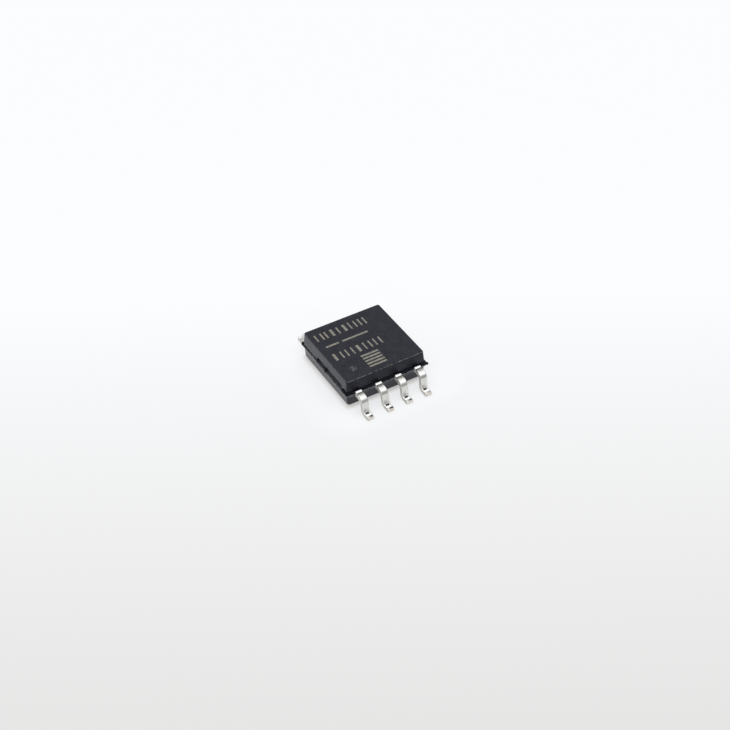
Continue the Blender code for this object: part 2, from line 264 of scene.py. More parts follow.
class Surface:
    """One material, with short calls for the nodes that vary it from place to place."""

    def __init__(self, name, color, roughness, metallic=0.0):
        self.material = bpy.data.materials.new(name)
        self.material.use_nodes = True
        self.tree = self.material.node_tree
        self.shader = self.tree.nodes["Principled BSDF"]
        self.set("Base Color", (*color, 1))
        self.set("Roughness", roughness)
        self.set("Metallic", metallic)
        place = self.tree.nodes.new("ShaderNodeTexCoord").outputs["Object"]
        scale = self.tree.nodes.new("ShaderNodeVectorMath")
        scale.operation = "SCALE"
        scale.inputs["Scale"].default_value = 1 / MM
        self.tree.links.new(place, scale.inputs[0])
        self.place = scale.outputs[0]

    def set(self, name, value):
        """Set one of the shader's sockets, or join it where the value is another socket."""
        self.feed(self.shader.inputs[name], value)

    def feed(self, socket, value):
        if isinstance(value, bpy.types.NodeSocket):
            self.tree.links.new(value, socket)
        else:
            socket.default_value = value

    def grain(self, per_mm, detail=2.0, rough=0.5, stretch=(1, 1, 1)):
        """Cloudy noise with so many lumps in a millimetre."""
        place = self.place
        if stretch != (1, 1, 1):
            turned = self.tree.nodes.new("ShaderNodeVectorMath")
            turned.operation = "MULTIPLY"
            turned.inputs[1].default_value = stretch
            self.tree.links.new(place, turned.inputs[0])
            place = turned.outputs[0]
        made = self.tree.nodes.new("ShaderNodeTexNoise")
        self.feed(made.inputs["Vector"], place)
        made.inputs["Scale"].default_value = per_mm
        made.inputs["Detail"].default_value = detail
        made.inputs["Roughness"].default_value = rough
        return made.outputs[0]

    def axis(self, name):
        """How far along one axis a point lies, in millimetres."""
        split = self.tree.nodes.new("ShaderNodeSeparateXYZ")
        self.tree.links.new(self.place, split.inputs[0])
        return split.outputs[name]

    def spread(self, value, low, high, to_low=0.0, to_high=1.0):
        """Map low..high to to_low..to_high, and hold it there beyond them."""
        made = self.tree.nodes.new("ShaderNodeMapRange")
        self.tree.links.new(value, made.inputs["Value"])
        made.inputs["From Min"].default_value = low
        made.inputs["From Max"].default_value = high
        made.inputs["To Min"].default_value = to_low
        made.inputs["To Max"].default_value = to_high
        return made.outputs["Result"]

    def sum_up(self, operation, first, second=0.0):
        """Join two values by one operation of arithmetic."""
        made = self.tree.nodes.new("ShaderNodeMath")
        made.operation = operation
        self.feed(made.inputs[0], first)
        self.feed(made.inputs[1], second)
        return made.outputs[0]

    def mix(self, share, first, second):
        """A colour between two others."""
        made = self.tree.nodes.new("ShaderNodeMix")
        made.data_type = "RGBA"
        self.feed(made.inputs[0], share)
        for socket, value in ((made.inputs[6], first), (made.inputs[7], second)):
            self.feed(socket, value if isinstance(value, bpy.types.NodeSocket) else (*value, 1))
        return made.outputs[2]

    def attribute(self, name):
        """A value that the mesh carries at its points."""
        made = self.tree.nodes.new("ShaderNodeAttribute")
        made.attribute_name = name
        return made.outputs["Fac"]

    def bump(self, height, rise):
        """Relief whose highest lumps stand so many millimetres above its lowest."""
        made = self.tree.nodes.new("ShaderNodeBump")
        made.inputs["Distance"].default_value = rise * MM
        self.tree.links.new(height, made.inputs["Height"])
        self.tree.links.new(made.outputs[0], self.shader.inputs["Normal"])


def compound_surface():
    """Filled epoxy: nearly black, matt, faintly mottled, edges paler by rubbing and painted
    highlight.
    """
    made = Surface("moulding_compound", (0.006, 0.006, 0.008), 0.34)
    made.set("IOR", 1.315)
    made.set("Specular Tint", (0.70, 0.76, 1.0, 1))
    made.set("Coat Weight", 1.0)
    made.set("Coat Roughness", 0.35)
    made.set("Coat IOR", 1.2)
    cloud = made.spread(made.grain(2.2, 5, 0.6), 0.32, 0.68)
    color = made.mix(cloud, (0.0, 0.0, 0.003), (0.010, 0.010, 0.015))
    # Painted light: from just above the undercut downwards the body is painted paler, as the bright
    # table that its lower wall reflects
    low = made.spread(made.axis("Z"), *(undercut_z + step for step in LOWER_PAINTED_LIGHT))
    color = made.mix(low, color, (0.022, 0.023, 0.028))
    specks = made.spread(made.grain(16, 3, 0.65), 0.61, 0.70)
    color = made.mix(specks, color, (0.068, 0.060, 0.055))
    # The rubbed edges are painted paler in spots: partly wear, partly a painted highlight along
    # them
    edge_spots = made.spread(made.grain(9, 3, 0.7), 0.42, 0.58)
    rubbed_and_highlit = made.sum_up("MULTIPLY", made.attribute("wear_and_highlight"), edge_spots)
    color = made.mix(rubbed_and_highlit, color, (0.18, 0.178, 0.17))
    # The dimple's middle is painted pale: a frosted texture and a painted glint
    frosty = made.spread(made.grain(12, 3, 0.7), 0.50, 0.56)
    glint_and_frost = made.sum_up("MULTIPLY", made.attribute("frost_and_glint"), frosty)
    color = made.mix(glint_and_frost, color, (0.15, 0.15, 0.165))
    made.set("Base Color", color)
    made.set("Roughness", made.spread(made.grain(5, 3), 0.3, 0.7, 0.32, 0.41))
    made.bump(made.grain(55, 3, 0.6), 0.0006)
    return made.material


def flash_surface():
    """The broken resin of the rim, rougher and duller than what the polished mould made."""
    made = Surface("rim_flash", (0.010, 0.010, 0.013), 0.7)
    made.set("Specular IOR Level", 0.08)
    # The rim's worn edges are painted pale in spots: partly wear, partly a painted highlight line
    rim_spots = made.spread(made.grain(6, 4, 0.7), 0.42, 0.54)
    worn_and_highlit = made.sum_up("MULTIPLY", made.attribute("wear_and_highlight"), rim_spots)
    made.set("Base Color", made.mix(worn_and_highlit, (0.010, 0.011, 0.015), (0.46, 0.48, 0.54)))
    made.set("Roughness", made.spread(made.grain(9, 2), 0.3, 0.7, 0.58, 0.8))
    made.bump(made.grain(26, 4, 0.65), 0.004)
    return made.material


def tin_surface():
    """Bright tin plate with the faint drag lines of the forming tool, and painted shade by the body
    and in the heel.
    """
    made = Surface("tin_plate", (0.74, 0.73, 0.71), 0.25, 1.0)
    tone = made.spread(made.grain(5, 3), 0.35, 0.68)
    plate = made.mix(tone, (0.69, 0.685, 0.655), (0.78, 0.77, 0.75))
    wiped = made.attribute("wiped")
    # Painted shade: the top beside the body is darkened as the dark reflection of the body's wall
    plate = made.mix(made.sum_up("MULTIPLY", wiped, PAINTED_SHADE_SHARE), plate, (0.15, 0.14, 0.12))
    # Painted shade: the heel's crease is darkened nearly to black
    made.set("Base Color", made.mix(made.attribute("crease"), plate, (0.035, 0.032, 0.03)))
    uneven = made.spread(made.grain(4, 2), 0.3, 0.7, 0.17, 0.25)
    dull = made.sum_up("MULTIPLY", wiped, PAINTED_SHADE_DULL)
    made.set("Roughness", made.sum_up("ADD", uneven, dull))
    made.bump(made.grain(4, 2, 0.5, (1, 0.35, 0.35)), 0.0010)
    return made.material


def matt_tin_surface():
    """The grainy tin beside the body, where the sheet was not pressed and no shade is painted."""
    made = Surface("matt_tin", (0.80, 0.79, 0.77), 0.36, 1.0)
    tone = made.spread(made.grain(12, 3), 0.3, 0.7)
    made.set("Base Color", made.mix(tone, (0.80, 0.79, 0.765), (0.88, 0.87, 0.85)))
    made.set("Roughness", made.spread(made.grain(18, 2), 0.3, 0.7, 0.44, 0.56))
    made.bump(made.grain(40, 3, 0.6), 0.0005)
    return made.material


def side_tin_surface():
    """The sheared sides of the strip, dull from the punch under their tin, painted paler high and
    darker low.
    """
    made = Surface("side_tin", (0.68, 0.66, 0.63), 0.5, 1.0)
    # Painted light and shade: the sides are paler high up and darker and warmer towards the table
    painted_height_light = made.spread(made.axis("Z"), *SIDE_PAINTED_LIGHT)
    plate = made.mix(painted_height_light, (0.65, 0.625, 0.585), (0.90, 0.88, 0.85))
    tone = made.spread(made.grain(10, 3), 0.3, 0.7)
    made.set("Base Color", made.mix(made.sum_up("MULTIPLY", tone, 0.15), plate, (0.40, 0.38, 0.35)))
    made.set("Roughness", made.spread(made.grain(14, 2), 0.3, 0.7, 0.50, 0.62))
    made.bump(made.grain(30, 2, 0.5, (1, 1, 0.2)), 0.001)
    return made.material


def cut_tin_surface():
    """The sheared end of a foot: copper alloy with tin smeared over most of it."""
    made = Surface("sheared_end", (0.70, 0.62, 0.55), 0.38, 1.0)
    smear = made.spread(made.grain(8, 3, 0.6, (1, 1, 0.3)), 0.42, 0.60)
    made.set("Base Color", made.mix(smear, (0.68, 0.60, 0.53), (0.82, 0.80, 0.77)))
    made.set("Roughness", made.spread(made.grain(20, 2), 0.3, 0.7, 0.30, 0.50))
    made.bump(made.grain(30, 2, 0.5, (1, 1, 0.15)), 0.004)
    return made.material


def mark_surface():
    """Epoxy that the laser has burnt to a pale, dry tan."""
    made = Surface("laser_burn", (0.22, 0.205, 0.17), 0.85)
    made.set("Specular IOR Level", 0.2)
    patchy = made.spread(made.grain(9, 4, 0.65), 0.32, 0.62)
    made.set("Base Color", made.mix(patchy, (0.15, 0.142, 0.118), (0.30, 0.285, 0.24)))
    made.bump(made.grain(30, 3, 0.6), 0.003)
    return made.material


def copper_surface():
    """The frame's copper alloy, with the dull brown of the tie bars where they were cut."""
    made = Surface("frame_copper", (0.78, 0.46, 0.31), 0.35, 1.0)
    away = made.sum_up("ABSOLUTE", made.axis("X"))
    cut = made.spread(away, *(rim_x - step for step in TIE_END))
    rolled = made.spread(made.grain(6, 3, 0.5, (0.2, 1, 1)), 0.3, 0.7)
    copper = made.mix(rolled, (0.70, 0.38, 0.24), (0.84, 0.53, 0.38))
    made.set("Base Color", made.mix(cut, copper, (0.07, 0.062, 0.052)))
    made.set("Roughness", made.spread(made.grain(12, 2), 0.3, 0.7, 0.30, 0.48))
    made.bump(made.grain(16, 2, 0.5, (0.2, 1, 1)), 0.002)
    return made.material


def glue_surface():
    """Silver-filled epoxy: grey, with bright flakes."""
    made = Surface("attach_glue", (0.55, 0.55, 0.52), 0.5)
    flakes = made.spread(made.grain(60, 2, 0.6), 0.55, 0.62)
    made.set("Base Color", made.mix(flakes, (0.36, 0.36, 0.35), (0.78, 0.78, 0.76)))
    made.set("Roughness", made.spread(flakes, 0.0, 1.0, 0.62, 0.30))
    made.bump(made.grain(45, 2), 0.002)
    return made.material


def silicon_surface():
    """The die: blocks of memory cells under glassy passivation, and sawn grey sides."""
    made = Surface("silicon_die", (0.20, 0.22, 0.28), 0.16, 0.6)
    across = made.sum_up("PINGPONG", made.axis("X"), CELL_BLOCK[0])
    along = made.sum_up("PINGPONG", made.axis("Y"), CELL_BLOCK[1])
    block = made.spread(made.sum_up("MINIMUM", across, along), *CELL_STREET)
    cells = made.spread(made.grain(70, 1), 0.45, 0.55)
    array = made.mix(cells, (0.12, 0.15, 0.24), (0.19, 0.20, 0.27))
    made.set("Base Color", made.mix(block, (0.34, 0.31, 0.26), array))
    made.set("Roughness", made.spread(block, 0, 1, 0.26, 0.14))
    return made.material


def gold_surface():
    """Drawn gold wire with the faint marks of the die that it was pulled through."""
    made = Surface("bond_gold", (0.95, 0.72, 0.30), 0.22, 1.0)
    tone = made.spread(made.grain(25, 2), 0.3, 0.7)
    made.set("Base Color", made.mix(tone, (0.90, 0.64, 0.24), (0.98, 0.78, 0.38)))
    made.set("Roughness", made.spread(made.grain(40, 2), 0.3, 0.7, 0.16, 0.30))
    return made.material


def add_piece(name, work, materials, nodes, sharp=()):
    """Turn a bmesh in millimetres into a piece of the chip that stands for CAD nodes."""
    work.edges.index_update()
    kept_sharp = [edge.index for edge in sharp]
    bmesh.ops.recalc_face_normals(work, faces=work.faces)
    bmesh.ops.scale(work, vec=(MM, MM, MM), verts=work.verts)
    mesh = bpy.data.meshes.new(name)
    work.to_mesh(mesh)
    work.free()
    mesh.shade_smooth()
    mesh.set_sharp_from_angle(angle=SMOOTH_ANGLE)
    for index in kept_sharp:
        mesh.edges[index].use_edge_sharp = True
    for material in materials:
        mesh.materials.append(material)
    piece = bpy.data.objects.new(name, mesh)
    bpy.context.scene.collection.objects.link(piece)
    even = piece.modifiers.new("even_shading", "WEIGHTED_NORMAL")
    even.keep_sharp = True
    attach(piece, "root")
    if nodes:
        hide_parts(*nodes)


def outline(half_x, half_y, radius):
    """Points round a rounded rectangle, each with the way that faces out there."""
    ring = []
    corners = ((1, 1), (-1, 1), (-1, -1), (1, -1))
    for quarter, (x, y) in enumerate(corners):
        centre = Vector((x * (half_x - radius), y * (half_y - radius), 0))
        for step in range(CORNER_STEPS + 1):
            angle = (quarter + step / CORNER_STEPS) * pi / 2
            out = Vector((cos(angle), sin(angle), 0))
            ring.append((centre + radius * out, out))
        next_x, next_y = corners[(quarter + 1) % 4]
        start = centre + radius * out
        end = Vector((next_x * (half_x - radius), next_y * (half_y - radius), 0)) + radius * out
        for step in range(1, SIDE_STEPS):
            ring.append((start.lerp(end, step / SIDE_STEPS), out))
    return ring


def uneven(place, edge):
    """How far one kind of edge strays there, in millimetres, the same on each run."""
    size, per_mm, seed = UNEVEN[edge]
    return size * noise.noise(Vector((place.x * per_mm, place.y * per_mm, seed)))


def within(value, span, blur):
    """One inside a span, nothing outside it, with a short slope at both ends."""
    inside = min(value - span[0], span[1] - value)
    return max(0.0, min(1.0, 0.5 + inside / blur))


def groove_share(place, out):
    """How far the rim is gone on the -X side: the gate's bite, the long break, the trimmed part."""
    if out.x > END_FACING:
        return 0.0, 0.0, 0.0
    gate = within(place.y + uneven(place, "gate"), GATE_SPAN, GATE_BLUR)
    broken = within(place.y + uneven(place, "break"), BREAK_SPAN, BREAK_BLUR)
    trimmed = within(place.y, (GATE_SPAN[1], rim_y - TRIM_END), TRIM_BLUR)
    return gate, broken, trimmed


def body_levels():
    """Each level of the body: half sizes, corner radius, height and which part it is of."""
    upper_x, upper_y = rim_x - LEDGE_SIDE, rim_y - LEDGE_ROW
    lower_x, lower_y = rim_x - LOWER_INSET_SIDE, rim_y - LOWER_INSET_ROW
    levels = []

    def wall(half_x, half_y, radius, draft, near, far, steps):
        for step in range(steps + 1):
            z = near + (far - near) * step / steps
            inset = abs(z - (undercut_z if draft < 0 else parting)) * tan(abs(draft))
            levels.append((half_x - inset, half_y - inset, radius, z, "wall"))

    def edge(z, toward):
        draft = UPPER_DRAFT if toward > 0 else LOWER_DRAFT
        radius = CORNER_RADIUS if toward > 0 else LOWER_CORNER_RADIUS
        fall = body_top - parting if toward > 0 else undercut_z - standoff
        half_x = (upper_x if toward > 0 else lower_x) - fall * tan(draft)
        half_y = (upper_y if toward > 0 else lower_y) - fall * tan(draft)
        arc = []
        for step in range(EDGE_STEPS + 1):
            angle = step / EDGE_STEPS * pi / 2
            inset = BODY_EDGE * (1 - cos(angle))
            height = z - toward * BODY_EDGE * (1 - sin(angle))
            kind = "edge" if toward > 0 and 0 < step < EDGE_STEPS else "wall"
            arc.append((half_x - inset, half_y - inset, radius - inset, height, kind))
        levels.extend(arc[::toward])

    edge(standoff, -1)
    start = standoff + 2 * BODY_EDGE
    wall(lower_x, lower_y, LOWER_CORNER_RADIUS, -LOWER_DRAFT, start, undercut_z, LOWER_WALL_STEPS)
    rim_low = parting - RIM_FACE
    for share, kind in UNDERCUT_LEVELS:
        inset_x = LOWER_INSET_SIDE * (1 - share)
        inset_y = LOWER_INSET_ROW * (1 - share)
        radius = LOWER_CORNER_RADIUS + (RIM_CORNER_RADIUS - LOWER_CORNER_RADIUS) * share
        z = undercut_z + UNDERCUT * share
        levels.append((rim_x - inset_x, rim_y - inset_y, radius, z, kind))
    for share, kind in RIM_LEVELS:
        levels.append((rim_x, rim_y, RIM_CORNER_RADIUS, rim_low + RIM_FACE * share, kind))
    for share in LEDGE_LEVELS:
        inset_x, inset_y = LEDGE_SIDE * share, LEDGE_ROW * share
        radius = RIM_CORNER_RADIUS + (CORNER_RADIUS - RIM_CORNER_RADIUS) * share
        levels.append((rim_x - inset_x, rim_y - inset_y, radius, ledge_top, "ledge"))
    for share in NOTCH_LEVELS:
        z = ledge_top + NOTCH_HEIGHT * share
        inset = (z - parting) * tan(UPPER_DRAFT)
        levels.append((upper_x - inset, upper_y - inset, CORNER_RADIUS, z, "notch"))
    start, end = ledge_top + NOTCH_HEIGHT + NOTCH_GAP, body_top - 2 * BODY_EDGE
    wall(upper_x, upper_y, CORNER_RADIUS, UPPER_DRAFT, start, end, UPPER_WALL_STEPS)
    edge(body_top, 1)
    return levels


def body_point(place, out, z, kind):
    """Where a point of the body's outline really lies, with the rim's breaks and chips."""
    point = place.copy()
    point.z = z
    gate, broken, trimmed = groove_share(place, out)
    if kind in ("rim", "burr", "ledge", "undercut", "notch"):
        broken_depth = broken * (BREAK_DEPTH + uneven(place, "break_depth"))
        depth = max(gate * GATE_DEPTH, broken_depth, trimmed * TRIM_DEPTH)
        point -= out * max(0.0, depth - (abs(rim_x) - abs(place.x)))
    if kind in ("rim", "burr", "ledge", "undercut"):
        point -= out * (RAGGED + uneven(place, "rim")) * (1 - gate)
        point -= out * max(0.0, uneven(place, "chip"))
    if kind in ("rim", "burr", "ledge"):
        point += out * EAR * 2 * max(0.0, out.x) * max(0.0, -out.y)
    if kind in ("burr", "undercut"):
        point.z += uneven(place, "burr")
    if kind in ("rim", "burr"):
        point.z -= TRIM_DROP * trimmed
    if kind == "ledge":
        point.z += (LEDGE_RISE + uneven(place, "ledge")) * (1 - max(gate, broken))
    if kind in ("ledge", "notch"):
        fall = ledge_top + NOTCH_HEIGHT - z if kind == "notch" else NOTCH_HEIGHT
        drop = END_DROP * (1 - max(gate, broken)) + TRIM_DROP * trimmed
        point.z -= drop * abs(out.x) * fall / NOTCH_HEIGHT
    if kind == "notch":
        point.z += broken * uneven(place, "notch")
    if kind == "lip":
        point.z += uneven(place, "lip_height")
        point += out * max(gate, broken) * uneven(place, "lip")
    return point


def add_cap(work, outer, inner):
    """Fill the flat face between an outer ring of points and a circle inside it."""
    edges = []
    for loop in (outer, inner):
        for here, after in zip(loop, loop[1:] + loop[:1]):
            edges.append(work.edges.get((here, after)) or work.edges.new((here, after)))
    bmesh.ops.triangle_fill(work, use_beauty=True, use_dissolve=False, edges=edges)
    return edges


def circle_points(work, centre, radius, z):
    """A level circle of points."""
    x, y = centre
    ring = []
    for step in range(CIRCLE_STEPS):
        angle = 2 * pi * step / CIRCLE_STEPS
        ring.append(work.verts.new((x + radius * cos(angle), y + radius * sin(angle), z)))
    return ring


def bridge(work, near, far, material_index=0):
    """Join two rings that have the same number of points."""
    faces = []
    for here, _ in enumerate(near):
        after = (here + 1) % len(near)
        face = work.faces.new((near[here], near[after], far[after], far[here]))
        face.material_index = material_index
        faces.append(face)
    return faces


def add_body(compound, flash):
    """The moulded package with its broken rim, gate, dimple and ejector disc."""
    work = bmesh.new()
    wear_and_highlight_layer = work.verts.layers.float.new("wear_and_highlight")
    frost_and_glint = work.verts.layers.float.new("frost_and_glint")
    rings = []
    for half_x, half_y, radius, z, kind in body_levels():
        ring = []
        for place, out in outline(half_x, half_y, radius):
            vert = work.verts.new(body_point(place, out, z, kind))
            gate, broken, _ = groove_share(place, out)
            side = 0 if out.y < NEAR_FACING else 1
            # Each edge's share of wear and painted highlight, strongest along the near row
            worn_and_highlit = {
                "edge": EDGE_WEAR_AND_HIGHLIGHT[side],
                "burr": BURR_WEAR_AND_HIGHLIGHT[side],
                "lip": LIP_WEAR_AND_HIGHLIGHT + max(gate, broken),
            }
            vert[wear_and_highlight_layer] = min(1.0, worn_and_highlit.get(kind, 0.0))
            ring.append(vert)
        rings.append((ring, kind))
    for (near, near_kind), (far, far_kind) in zip(rings, rings[1:]):
        faces = bridge(work, near, far)
        for face in faces:
            middle = face.calc_center_median()
            gone = max(groove_share(middle, Vector((middle.x / rim_x, 0, 0)))[:2])
            broken_off = gone > BROKEN_OFF and "notch" in (near_kind, far_kind)
            in_row = abs(middle.y) > rim_y - LEDGE_ROW - ROW_MARGIN
            rough = far_kind in ("rim", "burr") or broken_off or (far_kind == "ledge" and in_row)
            face.material_index = 1 if rough else 0
    rim = circle_points(work, DIMPLE_PLACE, DIMPLE_RADIUS, body_top)
    sharp = add_cap(work, rings[-1][0], rim)
    last = rim
    for share in DIMPLE_RINGS:
        depth = DIMPLE_DEPTH * (1 - share**2)
        following = circle_points(work, DIMPLE_PLACE, share * DIMPLE_RADIUS, body_top - depth)
        bridge(work, last, following)
        for vert in following:
            vert[frost_and_glint] = 1.0 if share < GLINT_AND_FROST_SHARE else 0.0
        last = following
    work.faces.new(last)
    disc = circle_points(work, (0, 0), EJECTOR_RADIUS + EJECTOR_DEPTH, standoff)
    sharp += add_cap(work, rings[0][0], disc)
    floor = circle_points(work, (0, 0), EJECTOR_RADIUS, standoff + EJECTOR_DEPTH)
    bridge(work, disc, floor)
    work.faces.new(floor)
    add_piece("moulded_package", work, (compound, flash), ("mold_body",), sharp)


# One place along a lead: how far out and how high its middle lies, its tilt, half its width, its
# shift to the side, how much its top is raised, the lip that the dam bar left along its lower
# edges, how round its upper edges are, its painted shade by the body and in the heel's crease, and
# how matt it is
Station = namedtuple(
    "Station",
    "out height tilt half_width shift rise lip rounding wiped crease matt",
    defaults=(0, 0, 0, UPPER_ROUND, 0, 0, 0),
)


def lead_section(station):
    """The section of the stamped strip: upper edges rolled over, and a lip along the lower ones."""
    points = []
    top = station.half_width - station.rounding
    for x, z, start in ((-1, -1, 1.0), (1, -1, 1.5), (1, 1, 0.0), (-1, 1, 0.5)):
        wide = station.half_width + (station.lip if z < 0 else 0)
        radius = station.rounding if z > 0 else LOWER_ROUND
        for step in range(ROUND_STEPS + 1):
            angle = (start + 0.5 * step / ROUND_STEPS) * pi
            points.append((
                x * (wide - radius) + radius * cos(angle),
                z * (SHEET / 2 - radius) + radius * sin(angle),
            ))
        if x > 0 and z > 0:
            shares = (1 - 2 * step / TOP_STEPS for step in range(1, TOP_STEPS))
            points.extend((top * share, SHEET / 2) for share in shares)
    return points


def lead_stations(shift):
    """A lead's stations: finger, raised flat, arch, shoulder, riser, heel and foot."""
    finger, flag, lead, foot = (
        width / 2 for width in (FINGER_WIDTH, FLAG_WIDTH, LEAD_WIDTH, FOOT_WIDTH)
    )
    level = parting - SHEET / 2
    finger_tip = -lead_high.y
    finger_end = finger_tip + FINGER_LENGTH
    stations = [
        Station(finger_tip, level, 0, finger, shift),
        Station(finger_end, level, 0, finger, shift),
        Station(finger_end + FINGER_TAPER, level, 0, lead),
        Station(rim_y + FLAG_START - FLAG_STEP, level, 0, flag, rounding=FLAG_ROUND, matt=1),
    ]
    dam_start = rim_y + DAM_START
    dam_end = dam_start + DAM_LENGTH
    flag_end = rim_y + FLAG_END
    for out, lip in (
        (rim_y + FLAG_START, 0), (dam_start - DAM_CORNER, 0), (dam_start, DAM_STUB),
        (dam_end, DAM_STUB), (dam_end + DAM_CORNER, 0), (flag_end, 0),
    ):
        rise = ARCH_START + (FLAG_RISE - ARCH_START) * (flag_end - out) / (FLAG_END - FLAG_START)
        stations.append(Station(out, level, 0, flag, 0, rise, lip, FLAG_ROUND, wiped=1, matt=1))
    bend_start = rim_y + SHOULDER_FLAT
    for step in range(1, ARCH_STEPS + 1):
        share = step / ARCH_STEPS
        out = flag_end + (bend_start - flag_end) * share
        rise = ARCH_START + (ARCH_RISE - ARCH_START) * sin(pi / 2 * share)
        wiped = 1 - (1 - PAINTED_SHADE_BEND) * share
        stations.append(Station(out, level, 0, lead, 0, rise, wiped=wiped))
    run = SHOULDER_LENGTH / BEND_STEPS
    out, height, last_tilt = bend_start, level, 0.0
    for step in range(1, BEND_STEPS + 1):
        tilt = RISER_ANGLE * (step / BEND_STEPS) ** SHOULDER_EASE
        out += run * cos((tilt + last_tilt) / 2)
        height -= run * sin((tilt + last_tilt) / 2)
        rise = ARCH_RISE * (1 + cos(pi * tilt / RISER_ANGLE)) / 2
        wiped = PAINTED_SHADE_BEND * max(0.0, 1 - tilt / PAINTED_SHADE_END)
        stations.append(Station(out, height, tilt, lead, 0, rise, wiped=wiped))
        last_tilt = tilt
    riser_fall = height - SHEET / 2 - HEEL_RADIUS * (1 - cos(RISER_ANGLE))
    heel_start = out + riser_fall / tan(RISER_ANGLE)
    middle = MATT_SHARE * out + (1 - MATT_SHARE) * heel_start
    stations.append(Station(middle, height - (1 - MATT_SHARE) * riser_fall, tilt, lead, matt=1))
    for step in range(BEND_STEPS + 1):
        share = step / BEND_STEPS
        tilt = RISER_ANGLE * (1 - share)
        out = heel_start + HEEL_RADIUS * (sin(RISER_ANGLE) - sin(tilt))
        height = SHEET / 2 + HEEL_RADIUS * (1 - cos(tilt))
        width = lead + (foot - lead) * share
        rise = -HEEL_THIN * share
        # The heel's crease carries painted shade and no matt finish
        crease = 1 if tilt < CREASE_TILT else 0
        stations.append(Station(out, height, tilt, width, 0, rise, crease=crease, matt=1 - crease))
    stations.append(Station(out + CREASE_RUN, height, 0, foot, 0, -HEEL_THIN, crease=1))
    for run, rise in FOOT_RELIEF:
        stations.append(Station(out + run, height, 0, foot, 0, rise))
    toe = -lead_low.y
    stations.append(Station(toe - TOE_TAPER[0], height, 0, foot))
    stations.append(Station(toe, height, 0, foot - TOE_TAPER[1]))
    return stations


def add_lead(pin, column, row, finishes):
    """One formed lead, with its foot leaning as far to the side as the photographed one's."""
    shift = -row * column * (FINGER_PITCH - LEAD_PITCH)
    lean = FOOT_LEAN.get(pin, 0.0)
    turn = Matrix.Rotation(0 if row < 0 else pi, 4, "Z")
    move = Matrix.Translation((column * LEAD_PITCH, 0, 0)) @ turn
    level = parting - SHEET / 2
    work = bmesh.new()
    crease = work.verts.layers.float.new("crease")
    wiped = work.verts.layers.float.new("wiped")
    rings = []
    for station in lead_stations(shift):
        aside = station.shift + lean * (level - station.height) / (level - SHEET / 2)
        ring = []
        for a, b in lead_section(station):
            b += station.rise * max(0.0, b) / (SHEET / 2)
            out = station.out + b * sin(station.tilt)
            height = station.height + b * cos(station.tilt)
            vert = work.verts.new(move @ Vector((aside + a, -out, height)))
            across = a / station.half_width
            on_top = b > CREASE_HEIGHT * SHEET
            vert[crease] = on_top * station.crease * within(across, CREASE_SPAN, CREASE_BLUR)
            # How much shade is painted on the top beside the body, as the dark wall's reflection
            vert[wiped] = station.wiped * within(across, PAINTED_SHADE_SPAN, PAINTED_SHADE_BLUR)
            ring.append(vert)
        rings.append((ring, station.matt))
    for (near, near_matt), (far, far_matt) in zip(rings, rings[1:]):
        for face in bridge(work, near, far, MATT_TIN * near_matt * far_matt):
            face.normal_update()
            if abs(face.normal.x) > SIDE_FACING:
                face.material_index = SIDE_TIN
    work.faces.new(rings[0][0])
    end = work.faces.new(rings[-1][0])
    end.material_index = CUT_TIN
    add_piece(f"formed_lead_{pin}", work, finishes, (f"lead_{pin}",))


def bar_outline(left, right, low, high):
    """The outline of a burnt bar, scalloped by the laser's spots."""
    places = ((left, low), (right, low), (right, high), (left, high))
    corners = [Vector(place) for place in places]
    ring = []
    for start, end in zip(corners, corners[1:] + corners[:1]):
        run = end - start
        out = Vector((run.y, -run.x)).normalized()
        steps = SPOT_STEPS * max(1, ceil(run.length / SPOT_PITCH))
        for step in range(steps):
            swell = SPOT_SWELL * abs(sin(pi * step / SPOT_STEPS))
            ring.append(start + run * step / steps + out * swell)
    return ring


def add_bar(work, left, right, low, high):
    """A film of burnt resin in the shape of one bar."""
    ring = bar_outline(left, right, low, high)
    loops = []
    for z in (body_top - MARK_RISE, body_top + MARK_RISE):
        loops.append([work.verts.new((point.x, point.y, z)) for point in ring])
    bridge(work, *loops)
    work.faces.new(list(reversed(loops[0])))
    work.faces.new(loops[1])


def add_marks(burn):
    """Plain bars where such a chip is marked: they spell nothing and stand for nothing."""
    work = bmesh.new()
    for seed, (middle, left, right) in enumerate(BAR_ROWS):
        place = left
        count = 0
        while place < right - THIN_BAR:
            chance = noise.cell(Vector((count + 0.5, seed + 0.5, BAR_SEED)))
            width = min(WIDE_BAR if chance > WIDE_ABOVE else THIN_BAR, right - place)
            add_bar(work, place, place + width, middle - MARK_HEIGHT / 2, middle + MARK_HEIGHT / 2)
            stray = abs(noise.cell(Vector((count + 0.5, seed + 0.5, GAP_SEED))))
            gap = BAR_GAP[0] + BAR_GAP[1] * stray
            place += width + gap
            count += 1
    middle, dashes = DASH_ROW
    for left, right in dashes:
        add_bar(work, left, right, middle - DASH_HEIGHT / 2, middle + DASH_HEIGHT / 2)
    x, y = HATCH_PLACE
    pitch = HATCH_SIDE / (HATCH_BARS - 0.5)
    for bar in range(HATCH_BARS):
        low = y - HATCH_SIDE / 2 + bar * pitch
        add_bar(work, x - HATCH_SIDE / 2, x + HATCH_SIDE / 2, low, low + pitch / 2)
    add_piece("plain_laser_marks", work, (burn,), ())


def pin_places():
    """Each pin's number, column from the middle, and row, anticlockwise from above."""
    middle = (ROW_PINS - 1) / 2
    for step in range(ROW_PINS):
        yield step + 1, step - middle, -1
        yield ROW_PINS + step + 1, middle - step, 1


def dress_inside():
    """Give the pieces sealed in the body their own finishes."""
    gold = gold_surface()
    finishes = {
        "die_paddle": copper_surface(),
        "die_attach": glue_surface(),
        "memory_die": silicon_surface(),
    }
    for pin, _, _ in pin_places():
        finishes[f"bond_wire_{pin}"] = gold
    for name, material in finishes.items():
        for slot in bpy.data.objects[name].material_slots:
            slot.material = material


